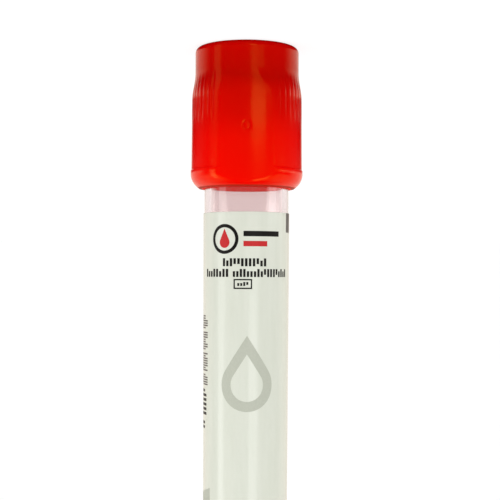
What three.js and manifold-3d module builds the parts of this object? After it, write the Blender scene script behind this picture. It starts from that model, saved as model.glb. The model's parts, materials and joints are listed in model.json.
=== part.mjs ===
// A closed blood collection tube, standing on its cap: its other end is round, and on its side it rolls.
//
// Lengths are in millimetres and angles in degrees. Each piece is first made the way up that the label
// reads, with the tube's axis along +Z, its round end at z = 0 and the middle of the label facing -Y. The
// group at the end of the file turns the closed tube over about Y, so that the cap's flat top is at z = 0.

import * as THREE from 'three';
import { mergeVertices } from 'three/addons/utils/BufferGeometryUtils.js';
import Module from 'manifold-3d';

// --- The tube: an injection-moulded plastic tube with a round bottom ---
const TUBE_LENGTH = 75;
const MOUTH_RADIUS = 6.55;          // outside, at the open end
const BASE_RADIUS = 6.3;            // outside, where the round bottom begins
const TUBE_WALL = 1.0;
const LIP_ROUND = 0.3;              // rounding of both edges of the mouth
const GATE_NUB_RADIUS = 0.9;        // the moulding gate's stub under the round bottom
const GATE_NUB_HEIGHT = 0.3;

// --- The stopper: one piece of moulded rubber ---
const PLUG_DEPTH = 7.0;             // how far it reaches into the tube
const PLUG_CLEARANCE = 0.05;        // sealing rings to the tube's bore
const RING_RELIEF = 0.3;            // how far the rings stand out of the plug's shank
const RING_HEIGHT = 1.1;
const RING_COUNT = 2;
const PLUG_CHAMFER = 0.5;
const FLANGE_RADIUS = 6.95;
const FLANGE_HEIGHT = 8.1;
const FLANGE_CHAMFER = 0.3;
const SEAT_GAP = 0.1;               // flange to the mouth of the tube
const WELL_MOUTH_RADIUS = 3.7;      // the needle is guided down this well
const WELL_FLOOR_RADIUS = 3.2;
const WELL_DEPTH = 4.0;
const RECESS_RADIUS = 2.6;          // the hollow in the plug's lower end
const RECESS_DEPTH = 6.3;

// --- The safety cap: an injection-moulded plastic shield over the stopper ---
const TUBE_ENTRY = 12.4;            // how far the tube's mouth stands inside the cap
const CAP_TOP_RADIUS = 8.0;
const CAP_BODY_RADIUS = 8.48;       // at the foot of the flare
const CAP_SKIRT_RADIUS = 8.56;      // just above the rim: the body has a slight draft
const FLARE_START = 3.0;            // below the top
const FLARE_LENGTH = 5.0;
const TOP_ROUND = 0.9;
const RIM_RADIUS = 8.67;
const RIM_HEIGHT = 2.9;
const RIM_BAND = 0.45;              // the upright part of the rim, above its rounded lower edge
const RIM_ROUND = 2.6;              // the rounding of the rim's lower edge
const RIM_STEP = 0.15;              // height of the step from the rim to the body
const LIP_RADIUS = 7.35;            // outside of the lip under the rim, which centres the tube
const LIP_HEIGHT = 0.7;
const LIP_LEAD = 1.2;               // the slope inside, from the lip to the wide bore
const LIP_CLEARANCE = 0.25;         // lip to tube
const OPENING_RADIUS = 4.6;         // the hole through which the needle goes in
const OPENING_CHAMFER = 0.3;
const CAP_TOP_THICKNESS = 1.1;
const SKIRT_WALL = 1.2;
const POCKET_CLEARANCE = 0.1;       // stopper flange to the cap, all round and above
const BEAD_HOLD = 0.2;              // how far the bead reaches in under the flange
const BEAD_HEIGHT = 0.8;
const BEAD_LEAD = 0.6;              // the sloping side of the bead

// --- The grip on the cap ---
const PANEL_RADIUS = 17;            // the front and back thumb panels are this much flatter
const PANEL_DISTANCE = 8.02;        // from the axis to the middle of a panel
const GROOVE_PITCH = 7.5;           // degrees, the same on both sides
const GROOVE_FIRST = 37.5;          // from the middle of the front panel
const GROOVE_DEPTH = 0.3;
const GROOVE_WIDTH = 0.4;
const GROOVE_TOP = 3.8;             // below the top
const GROOVE_LEAD = 3.2;            // length over which a groove deepens, down the flare
const GROOVE_FOOT = 12.7;           // below the top
const GROOVE_RUNOUT = 1.6;          // length over which a groove fades out at its foot
const DIMPLE_RADIUS = 0.6;          // the cap's moulding gate, on the front panel
const DIMPLE_DEPTH = 0.12;
const DIMPLE_DROP = 12.8;           // below the top

// --- The label: one strip of printed film, wrapped round the tube ---
const LABEL_LENGTH = 46;
const LABEL_DROP = 3.8;             // from the bottom of the cap to the label
const LABEL_THICKNESS = 0.12;
const LABEL_GAP = 0.04;             // label to tube
const WINDOW_START = 86;            // the strip ends here, to the right of its middle
const WINDOW_ANGLE = 36;            // bare tube between the strip's two ends

// --- Colours ---
const CLEAR_PLASTIC = '#e9e4e2';
const GREY_RUBBER = '#6f6c6b';
const RED_PLASTIC = '#e10600';
const CREAM_FILM = '#e4e6da';

// --- How finely round shapes are cut into facets ---
const TUBE_SEGMENTS = 48;
const CAP_SEGMENTS = 60;
const DIMPLE_SEGMENTS = 12;
const PANEL_FACET_ANGLE = 4;

// --- Places that follow from the sizes above ---
const CAP_BOTTOM = TUBE_LENGTH - TUBE_ENTRY;
const FLANGE_BOTTOM = TUBE_LENGTH + SEAT_GAP;
const FLANGE_TOP = FLANGE_BOTTOM + FLANGE_HEIGHT;
const CEILING = FLANGE_TOP + POCKET_CLEARANCE;
const CAP_TOP = CEILING + CAP_TOP_THICKNESS;
const PLUG_BOTTOM = TUBE_LENGTH - PLUG_DEPTH;
const POCKET_RADIUS = FLANGE_RADIUS + POCKET_CLEARANCE;
const CAP_BORE_RADIUS = CAP_SKIRT_RADIUS - SKIRT_WALL;
const LIP_BORE = MOUTH_RADIUS + LIP_CLEARANCE;
const LABEL_TOP = CAP_BOTTOM - LABEL_DROP;
const LABEL_BOTTOM = LABEL_TOP - LABEL_LENGTH;
const PAST = 1;                     // how far a cutter reaches past what it cuts

const wasm = await Module();
wasm.setup();

const point = (radius, height) => new THREE.Vector2(radius, height);
const radians = THREE.MathUtils.degToRad;

/** Points on an arc, from one angle to another, both ends included. */
function arc(centreRadius, centreHeight, radius, from, to, steps) {
  return Array.from({ length: steps + 1 }, (_, i) => {
    const angle = radians(THREE.MathUtils.lerp(from, to, i / steps));
    return point(centreRadius + radius * Math.cos(angle), centreHeight + radius * Math.sin(angle));
  });
}

/** Turns a closed three.js geometry into a solid that can be joined and cut. */
function toSolid(geometry) {
  geometry.deleteAttribute('normal');
  geometry.deleteAttribute('uv');
  const merged = mergeVertices(geometry);
  const index = merged.index.array;
  const triangles = [];
  for (let i = 0; i < index.length; i += 3) {
    const [a, b, c] = [index[i], index[i + 1], index[i + 2]];
    if (a !== b && b !== c && c !== a) triangles.push(a, b, c);
  }
  return new wasm.Manifold(new wasm.Mesh({
    numProp: 3,
    vertProperties: new Float32Array(merged.attributes.position.array),
    triVerts: new Uint32Array(triangles),
  }));
}

/** The geometry of a solid, ready for a mesh. */
function toGeometry(solid) {
  const { vertProperties, triVerts } = solid.getMesh();
  const geometry = new THREE.BufferGeometry();
  geometry.setAttribute('position', new THREE.BufferAttribute(vertProperties, 3));
  geometry.setIndex(new THREE.BufferAttribute(triVerts, 1));
  geometry.computeVertexNormals();
  return geometry;
}

/** Turns a profile of (radius, height) points round the Z axis. */
function turned(profile, segments) {
  const geometry = new THREE.LatheGeometry(profile, segments);
  geometry.rotateX(Math.PI / 2);
  return toSolid(geometry);
}

/** Extrudes an outline in the XY plane from one height to another. */
function prism(outline, bottom, top) {
  const depth = top - bottom;
  const geometry = new THREE.ExtrudeGeometry(new THREE.Shape(outline), { depth, bevelEnabled: false });
  geometry.translate(0, 0, bottom);
  return toSolid(geometry);
}

/** Outside radius of the tube, which tapers from its mouth to its round bottom. */
function tubeRadius(height) {
  const share = (height - BASE_RADIUS) / (TUBE_LENGTH - LIP_ROUND - BASE_RADIUS);
  return THREE.MathUtils.lerp(BASE_RADIUS, MOUTH_RADIUS, share);
}

function makeTube() {
  const innerMouth = MOUTH_RADIUS - TUBE_WALL;
  const lipHeight = TUBE_LENGTH - LIP_ROUND;
  const stubTop = BASE_RADIUS - Math.sqrt(BASE_RADIUS ** 2 - GATE_NUB_RADIUS ** 2);
  const round = arc(0, BASE_RADIUS, BASE_RADIUS, -90, 0, 9);
  return turned([
    point(0, -GATE_NUB_HEIGHT),
    point(GATE_NUB_RADIUS, -GATE_NUB_HEIGHT),
    point(GATE_NUB_RADIUS, stubTop),
    ...round.filter((p) => p.x > GATE_NUB_RADIUS),
    ...arc(MOUTH_RADIUS - LIP_ROUND, lipHeight, LIP_ROUND, 0, 90, 3),
    ...arc(innerMouth + LIP_ROUND, lipHeight, LIP_ROUND, 90, 180, 3),
    ...arc(0, BASE_RADIUS, BASE_RADIUS - TUBE_WALL, 0, -80, 7),
    point(0, TUBE_WALL),
  ], TUBE_SEGMENTS);
}

function makeStopper() {
  const ringRadius = tubeRadius(PLUG_BOTTOM) - TUBE_WALL - PLUG_CLEARANCE;
  const shankRadius = ringRadius - RING_RELIEF;
  const rings = [];
  for (let i = 1; i <= RING_COUNT; i += 1) {
    const middle = PLUG_BOTTOM + i * PLUG_DEPTH / (RING_COUNT + 1);
    rings.push(
      point(shankRadius, middle - RING_HEIGHT / 2 - RING_RELIEF),
      point(ringRadius, middle - RING_HEIGHT / 2),
      point(ringRadius, middle + RING_HEIGHT / 2),
      point(shankRadius, middle + RING_HEIGHT / 2 + RING_RELIEF),
    );
  }
  return turned([
    point(0, PLUG_BOTTOM + RECESS_DEPTH),
    point(RECESS_RADIUS, PLUG_BOTTOM + RECESS_DEPTH),
    point(RECESS_RADIUS, PLUG_BOTTOM),
    point(shankRadius - PLUG_CHAMFER, PLUG_BOTTOM),
    point(shankRadius, PLUG_BOTTOM + PLUG_CHAMFER),
    ...rings,
    point(shankRadius, FLANGE_BOTTOM),
    point(FLANGE_RADIUS - FLANGE_CHAMFER, FLANGE_BOTTOM),
    point(FLANGE_RADIUS, FLANGE_BOTTOM + FLANGE_CHAMFER),
    point(FLANGE_RADIUS, FLANGE_TOP - FLANGE_CHAMFER),
    point(FLANGE_RADIUS - FLANGE_CHAMFER, FLANGE_TOP),
    point(WELL_MOUTH_RADIUS, FLANGE_TOP),
    point(WELL_FLOOR_RADIUS, FLANGE_TOP - WELL_DEPTH),
    point(0, FLANGE_TOP - WELL_DEPTH),
  ], TUBE_SEGMENTS);
}

/** The smooth flare between the cap's wide body and its narrower top, from the foot up. */
function flareProfile(steps) {
  return Array.from({ length: steps + 1 }, (_, i) => {
    const share = i / steps;
    const ease = (1 - Math.cos(Math.PI * share)) / 2;
    const radius = THREE.MathUtils.lerp(CAP_BODY_RADIUS, CAP_TOP_RADIUS, ease);
    return point(radius, CAP_TOP - FLARE_START - FLARE_LENGTH * (1 - share));
  });
}

/** The cap as it is turned, before its panels, grooves and dimple. */
function makeCapBlank() {
  const beadRadius = FLANGE_RADIUS - BEAD_HOLD;
  const beadTop = FLANGE_BOTTOM - POCKET_CLEARANCE;
  const beadBottom = beadTop - BEAD_HEIGHT;
  const roundRadius = RIM_RADIUS - RIM_ROUND;
  const roundHeight = CAP_BOTTOM + RIM_HEIGHT - RIM_STEP - RIM_BAND;
  const lipAngle = THREE.MathUtils.radToDeg(Math.acos((LIP_RADIUS - roundRadius) / RIM_ROUND));
  return turned([
    point(LIP_BORE, CAP_BOTTOM),
    point(LIP_RADIUS, CAP_BOTTOM),
    ...arc(roundRadius, roundHeight, RIM_ROUND, -lipAngle, 0, 6),
    point(RIM_RADIUS, roundHeight + RIM_BAND),
    point(CAP_SKIRT_RADIUS, CAP_BOTTOM + RIM_HEIGHT),
    ...flareProfile(6),
    ...arc(CAP_TOP_RADIUS - TOP_ROUND, CAP_TOP - TOP_ROUND, TOP_ROUND, 0, 90, 4),
    point(OPENING_RADIUS + OPENING_CHAMFER, CAP_TOP),
    point(OPENING_RADIUS, CAP_TOP - OPENING_CHAMFER),
    point(OPENING_RADIUS, CEILING),
    point(POCKET_RADIUS, CEILING),
    point(POCKET_RADIUS, beadTop),
    point(beadRadius, beadTop),
    point(beadRadius, beadBottom),
    point(CAP_BORE_RADIUS, beadBottom - BEAD_LEAD),
    point(CAP_BORE_RADIUS, CAP_BOTTOM + LIP_HEIGHT + LIP_LEAD),
    point(LIP_BORE, CAP_BOTTOM + LIP_HEIGHT),
    point(LIP_BORE, CAP_BOTTOM),
  ], CAP_SEGMENTS);
}

/** What the thumb panels leave standing: a lens in plan, flatter than the cap at front and back. */
function makePanelLens() {
  const offset = PANEL_RADIUS - PANEL_DISTANCE;
  const halfAngle = THREE.MathUtils.radToDeg(Math.acos(offset / PANEL_RADIUS));
  const facets = 2 * Math.round(halfAngle / PANEL_FACET_ANGLE - 0.5) + 1;
  const front = arc(0, offset, PANEL_RADIUS, -90 - halfAngle, -90 + halfAngle, facets);
  const back = arc(0, -offset, PANEL_RADIUS, 90 - halfAngle, 90 + halfAngle, facets);
  return prism([...front.slice(0, -1), ...back.slice(0, -1)], CAP_BOTTOM - PAST, CAP_TOP + PAST);
}

/** One grip groove's cutter, a bar on the +X side with a foot that runs out of the surface. */
function makeGrooveCutter() {
  const floor = CAP_BODY_RADIUS - GROOVE_DEPTH;
  const outside = CAP_SKIRT_RADIUS + PAST;
  const foot = CAP_TOP - GROOVE_FOOT;
  const outline = new THREE.Shape([
    point(CAP_TOP_RADIUS, CAP_TOP - GROOVE_TOP),
    point(floor, CAP_TOP - GROOVE_TOP - GROOVE_LEAD),
    point(floor, foot + GROOVE_RUNOUT),
    point(CAP_SKIRT_RADIUS, foot),
    point(outside, foot),
    point(outside, CAP_TOP - GROOVE_TOP),
  ]);
  const geometry = new THREE.ExtrudeGeometry(outline, { depth: GROOVE_WIDTH, bevelEnabled: false });
  geometry.translate(0, 0, -GROOVE_WIDTH / 2);
  geometry.rotateX(Math.PI / 2);
  return toSolid(geometry);
}

function makeSafetyCap() {
  const groove = makeGrooveCutter();
  const dimple = new THREE.CylinderGeometry(DIMPLE_RADIUS, DIMPLE_RADIUS, PAST, DIMPLE_SEGMENTS);
  dimple.translate(0, DIMPLE_DEPTH - PANEL_DISTANCE - PAST / 2, CAP_TOP - DIMPLE_DROP);

  let cap = makeCapBlank().intersect(makePanelLens());
  for (let angle = GROOVE_FIRST; angle <= 180 - GROOVE_FIRST; angle += GROOVE_PITCH) {
    cap = cap.subtract(groove.rotate([0, 0, angle - 90]));
    cap = cap.subtract(groove.rotate([0, 0, -angle - 90]));
  }
  return cap.subtract(toSolid(dimple));
}

function makeLabel() {
  const inside = (height) => tubeRadius(height) + LABEL_GAP;
  const outside = (height) => inside(height) + LABEL_THICKNESS;
  const sleeve = turned([
    point(inside(LABEL_BOTTOM), LABEL_BOTTOM),
    point(outside(LABEL_BOTTOM), LABEL_BOTTOM),
    point(outside(LABEL_TOP), LABEL_TOP),
    point(inside(LABEL_TOP), LABEL_TOP),
    point(inside(LABEL_BOTTOM), LABEL_BOTTOM),
  ], TUBE_SEGMENTS);
  const from = WINDOW_START - 90;
  const wedge = [point(0, 0), ...arc(0, 0, 2 * MOUTH_RADIUS, from, from + WINDOW_ANGLE, 4)];
  return sleeve.subtract(prism(wedge, LABEL_BOTTOM - PAST, LABEL_TOP + PAST));
}

function makeMesh(name, solid, color, roughness, opacity = 1) {
  const finish = { color, roughness, metalness: 0, opacity, transparent: opacity < 1 };
  const mesh = new THREE.Mesh(toGeometry(solid), new THREE.MeshStandardMaterial(finish));
  mesh.name = name;
  return mesh;
}

const tube = makeMesh('tube', makeTube(), CLEAR_PLASTIC, 0.08, 0.35);
const stopper = makeMesh('stopper', makeStopper(), GREY_RUBBER, 0.7);
const safetyCap = makeMesh('safety_cap', makeSafetyCap(), RED_PLASTIC, 0.3);
const label = makeMesh('label', makeLabel(), CREAM_FILM, 0.45);

const closedTube = new THREE.Group();
closedTube.add(tube, label, stopper, safetyCap);
closedTube.rotation.y = Math.PI;
closedTube.position.z = CAP_TOP;

export default closedTube;
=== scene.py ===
"""A closed blood collection tube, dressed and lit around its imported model.

The tube stands on its cap on a white surface, and the camera is turned over with it, so that the label
reads upright. Its pieces are built in the tube's own frame, in millimetres: heights run along the axis
from the bottom edge of the cap towards its top, and the middle of the label faces -Y. TubeFrame reads
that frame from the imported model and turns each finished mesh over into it, in metres.
"""

import json
import logging
import math
import random
from dataclasses import dataclass, field
from enum import Enum
from functools import cached_property
from itertools import pairwise
from typing import Any, Callable, Iterator, NamedTuple, Sequence

import bpy
from bpy.types import Material, Node, NodeSocket, NodeTree, Object, World
from mathutils import Matrix, Vector

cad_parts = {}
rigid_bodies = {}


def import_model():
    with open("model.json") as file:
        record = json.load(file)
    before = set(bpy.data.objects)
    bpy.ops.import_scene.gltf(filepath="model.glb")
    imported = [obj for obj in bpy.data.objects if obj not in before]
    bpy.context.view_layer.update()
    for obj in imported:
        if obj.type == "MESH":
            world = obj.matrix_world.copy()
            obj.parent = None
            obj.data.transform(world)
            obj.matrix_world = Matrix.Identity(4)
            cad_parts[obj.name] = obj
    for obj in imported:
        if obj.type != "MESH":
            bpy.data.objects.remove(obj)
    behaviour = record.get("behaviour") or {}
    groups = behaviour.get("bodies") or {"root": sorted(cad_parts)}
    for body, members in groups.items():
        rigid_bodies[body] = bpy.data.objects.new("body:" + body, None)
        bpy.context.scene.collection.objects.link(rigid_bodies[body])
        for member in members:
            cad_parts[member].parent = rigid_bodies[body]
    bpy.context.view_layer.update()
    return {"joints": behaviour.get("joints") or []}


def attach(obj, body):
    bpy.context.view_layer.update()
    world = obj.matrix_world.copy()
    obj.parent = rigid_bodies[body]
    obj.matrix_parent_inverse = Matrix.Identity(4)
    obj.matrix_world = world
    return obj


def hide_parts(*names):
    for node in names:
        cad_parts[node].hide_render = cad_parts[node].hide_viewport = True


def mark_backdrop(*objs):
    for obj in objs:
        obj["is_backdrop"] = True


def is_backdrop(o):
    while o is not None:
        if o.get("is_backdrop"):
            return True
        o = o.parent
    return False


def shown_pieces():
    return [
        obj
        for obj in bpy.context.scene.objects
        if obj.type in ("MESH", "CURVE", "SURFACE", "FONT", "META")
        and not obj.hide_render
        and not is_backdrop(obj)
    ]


log = logging.getLogger("blood_tube")

METRES_PER_MM = 0.001
MERGE_DISTANCE = 0.0005
BLACK = "#000000"
WHITE = "#ffffff"
WHITE_FACE_WATTS = 4.0  # per square metre of an area lamp


class Body(Enum):
    """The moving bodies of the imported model."""

    TUBE = "tube"
    STOPPER = "stopper"
    CAP = "cap"


class Slot(Enum):
    """The record's material slots."""

    CLEAR_PLASTIC = "clear_plastic"
    LABEL_FILM = "label_film"
    GREY_RUBBER = "grey_rubber"
    RED_PLASTIC = "red_plastic"


# --- The tube's own frame ---


@dataclass(frozen=True)
class TubeFrame:
    """Where the tube's axis stands in the model.

    Attributes:
        foot: The point on the axis at the bottom edge of the cap's skirt, in metres.
        along: Direction of the axis, from the tube's round end towards the cap.
        front: Direction that the middle of the label faces.
        side: Direction to the right of the label as it is read.
    """

    foot: Vector
    along: Vector
    front: Vector
    side: Vector

    @classmethod
    def from_joints(cls, joints: Sequence[dict[str, Any]]) -> "TubeFrame":
        """Reads the frame from the joint that the cap turns on.

        Args:
            joints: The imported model's joints.

        Returns:
            The tube's frame.
        """
        twist = next(joint for joint in joints if joint["type"] == "hinge")
        along = -Vector(twist["axis"]).normalized()
        front = Vector((0, -1, 0))
        return cls(Vector(twist["pos_m"]), along, front, along.cross(front))

    @property
    def matrix(self) -> Matrix:
        """Turns millimetres in the tube's frame into metres in the model's frame."""
        axes = Matrix((self.side, -self.front, self.along)).transposed().to_4x4()
        return Matrix.Translation(self.foot) @ axes @ Matrix.Scale(METRES_PER_MM, 4)

    def point(self, side: float, front: float, height: float) -> Vector:
        """A place in metres, from millimetres to the side, to the front and up the axis."""
        return self.matrix @ Vector((side, -front, height))

    def local_points(self, node: str) -> list[Vector]:
        """A CAD node's vertices in the tube's frame, in millimetres."""
        inverse = self.matrix.inverted()
        return [inverse @ vertex.co for vertex in bpy.data.objects[node].data.vertices]

    def heights(self, node: str) -> tuple[float, float]:
        """Lowest and highest height of a CAD node, in millimetres."""
        heights = [point.z for point in self.local_points(node)]
        return min(heights), max(heights)

    def reach(self, node: str, low: float = -math.inf, high: float = math.inf) -> float:
        """Largest distance of a CAD node from the axis, in millimetres, between two heights."""
        points = self.local_points(node)
        return max(math.hypot(point.x, point.y) for point in points if low <= point.z <= high)

    def settle(self, piece: Object) -> None:
        """Turns a piece that was built in the tube's frame over into the model, its place in its mesh.

        Args:
            piece: The piece, in millimetres.
        """
        activate(piece)
        piece.matrix_world = self.matrix
        bpy.ops.object.transform_apply(location=True, rotation=True, scale=True)


# --- Modelling helpers ---


class Corner(NamedTuple):
    """A corner of a turned profile: its radius and height, and how far it is rounded."""

    radius: float
    height: float
    rounding: float = 0.0


def deselect_all() -> None:
    """Leaves nothing selected, in object mode."""
    if bpy.context.mode != "OBJECT":
        bpy.ops.object.mode_set(mode="OBJECT")
    bpy.ops.object.select_all(action="DESELECT")


def activate(piece: Object) -> None:
    """Leaves one object selected and active, in object mode.

    Args:
        piece: The object.
    """
    deselect_all()
    piece.select_set(True)
    bpy.context.view_layer.objects.active = piece


def new_piece(name: str) -> Object:
    """Starts a piece.

    Args:
        name: The piece's name.

    Returns:
        An empty mesh object, left open in edit mode.
    """
    deselect_all()
    bpy.ops.object.add(type="MESH")
    piece = bpy.context.active_object
    piece.name = piece.data.name = name
    bpy.ops.object.mode_set(mode="EDIT")
    bpy.ops.mesh.select_mode(type="VERT")
    return piece


def trace(points: Sequence[Vector]) -> None:
    """Draws a line of edges in edit mode: a plane merged to a vertex, which is then extruded.

    Args:
        points: The points that the line goes through.
    """
    bpy.ops.mesh.select_all(action="DESELECT")
    bpy.ops.mesh.primitive_plane_add(size=1)
    bpy.ops.mesh.merge(type="CENTER")
    bpy.ops.transform.translate(value=points[0])
    for here, there in pairwise(points):
        bpy.ops.mesh.extrude_region_move(TRANSFORM_OT_translate={"value": there - here})


def close_up(piece: Object, smooth_angle: float) -> None:
    """Merges doubles, turns the faces outwards and shades the piece.

    Args:
        piece: The piece, open in edit mode.
        smooth_angle: Edges flatter than this many degrees are shaded smooth.
    """
    bpy.ops.mesh.select_all(action="SELECT")
    bpy.ops.mesh.remove_doubles(threshold=MERGE_DISTANCE)
    bpy.ops.mesh.normals_make_consistent(inside=False)
    activate(piece)
    bpy.ops.object.shade_smooth_by_angle(angle=math.radians(smooth_angle))


def rounded(corners: Sequence[Corner], steps: int = 5, closed: bool = False) -> list[Vector]:
    """Rounds the corners of a profile.

    Args:
        corners: The profile's corners, in order.
        steps: How many facets each rounding gets.
        closed: Whether the last corner joins the first.

    Returns:
        The points of the profile, as (radius, 0, height).
    """
    points: list[Vector] = []
    places = [Vector((corner.radius, 0, corner.height)) for corner in corners]
    for i, corner in enumerate(corners):
        at_end = not closed and i in (0, len(corners) - 1)
        if corner.rounding == 0 or at_end:
            points.append(places[i])
            continue
        before = (places[i - 1] - places[i]).normalized()
        after = (places[(i + 1) % len(corners)] - places[i]).normalized()
        half = before.angle(after) / 2
        middle = (before + after).normalized() * (corner.rounding / math.sin(half))
        centre = places[i] + middle
        first = before * (corner.rounding / math.tan(half)) - middle
        last = after * (corner.rounding / math.tan(half)) - middle
        for step in range(steps + 1):
            points.append(centre + first.slerp(last, step / steps) * corner.rounding)
    if closed:
        points.append(points[0].copy())
    return points


def arc(radius: float, first: float, last: float, steps: int) -> Iterator[tuple[float, float]]:
    """Walks round a circle.

    Args:
        radius: Its radius.
        first: Where the walk starts, in radians from the second axis's negative side.
        last: Where it ends.
        steps: How many facets it gets.

    Yields:
        Each point's place along the two axes, from the circle's centre.
    """
    for step in range(steps + 1):
        angle = first + (last - first) * step / steps
        yield radius * math.sin(angle), -radius * math.cos(angle)


def stepped(start: Vector, end: Vector, pitch: float) -> list[Vector]:
    """Evenly spaced points from one place to another, both included."""
    count = max(1, round((end - start).length / pitch))
    return [start.lerp(end, i / count) for i in range(count + 1)]


def held(points: Sequence[Vector], inset: float = 0.12, shortest: float = 0.6) -> list[Vector]:
    """Adds a point near both ends of each long straight run, so that its shading stays flat.

    Args:
        points: The points of a profile, in order.
        inset: How far from the ends the new points lie, in millimetres.
        shortest: Length of the shortest run that gets them.

    Returns:
        The profile with the new points.
    """
    kept = [points[0]]
    for here, there in pairwise(points):
        length = (there - here).length
        if length > shortest:
            kept += [here.lerp(there, inset / length), there.lerp(here, inset / length)]
        kept.append(there)
    return kept


def spin(steps: int, degrees: float = 360) -> None:
    """Sweeps the piece that is open in edit mode round the axis."""
    bpy.ops.mesh.select_all(action="SELECT")
    bpy.ops.mesh.spin(steps=steps, angle=math.radians(degrees), center=(0, 0, 0), axis=(0, 0, 1))


def turned(name: str, profile: Sequence[Vector], steps: int, smooth_angle: float = 30) -> Object:
    """Turns a profile round the axis, as on a lathe.

    Args:
        name: The piece's name.
        profile: Points of the profile as (radius, 0, height), with both ends on the axis or in one place.
        steps: How many facets go round.
        smooth_angle: Edges flatter than this many degrees are shaded smooth.

    Returns:
        The turned piece.
    """
    piece = new_piece(name)
    trace(held(profile))
    spin(steps)
    close_up(piece, smooth_angle)
    return piece


def smooth_step(value: float) -> float:
    """Eases from 0 to 1 while the value goes from 0 to 1."""
    share = min(max(value, 0.0), 1.0)
    return share * share * (3 - 2 * share)


# --- Material helpers ---


def srgb(hex_colour: str) -> tuple[float, float, float, float]:
    """Turns an sRGB hex colour such as "#ff8800" into linear RGBA."""
    channels = [int(hex_colour[i : i + 2], 16) / 255 for i in (1, 3, 5)]
    return (*(c / 12.92 if c <= 0.04045 else ((c + 0.055) / 1.055) ** 2.4 for c in channels), 1.0)


def empty_tree(owner: Material | World) -> NodeTree:
    """Clears a node tree.

    Args:
        owner: The material or world that it belongs to.

    Returns:
        The tree, with nothing in it.
    """
    owner.use_nodes = True
    owner.node_tree.nodes.clear()
    return owner.node_tree


def add_node(tree: NodeTree, kind: str, inputs: dict[Any, Any] | None = None, **settings: Any) -> Node:
    """Adds a shader node.

    Args:
        tree: The tree that it goes into.
        kind: Its type without the common prefix, such as "TexNoise".
        inputs: What its input sockets get, by name or number: a value, a socket that feeds them, or a
            node whose first live output does.
        **settings: The node's own settings.

    Returns:
        The new node.
    """
    node = tree.nodes.new("ShaderNode" + kind)
    for key, value in settings.items():
        setattr(node, key, value)
    for key, source in (inputs or {}).items():
        if isinstance(source, Node):
            source = next(output for output in source.outputs if output.enabled)
        if isinstance(source, NodeSocket):
            tree.links.new(source, node.inputs[key])
        else:
            node.inputs[key].default_value = source
    return node


def tube_coordinates(tree: NodeTree, frame: TubeFrame) -> Node:
    """Turns Object coordinates into the tube's frame.

    Args:
        tree: The tree that needs them.
        frame: The tube's frame.

    Returns:
        A node that gives the place in millimetres, with the height as Z.
    """
    inverse = frame.matrix.inverted()
    inputs = {
        "Vector": add_node(tree, "TexCoord").outputs["Object"],
        "Location": inverse.translation,
        "Rotation": inverse.to_3x3().normalized().to_euler(),
        "Scale": (1 / METRES_PER_MM,) * 3,
    }
    return add_node(tree, "Mapping", inputs)


def distance_from_axis(tree: NodeTree, place: Node) -> Node:
    """Distance from the tube's axis, in millimetres, of a place in the tube's frame."""
    across = add_node(tree, "VectorMath", {0: place, 1: (1, 1, 0)}, operation="MULTIPLY")
    return add_node(tree, "VectorMath", {0: across}, operation="LENGTH")


def dress(piece: Object, material: Material) -> None:
    """Gives a piece one material all over."""
    piece.data.materials.clear()
    piece.data.materials.append(material)


# --- Finishes ---


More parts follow.
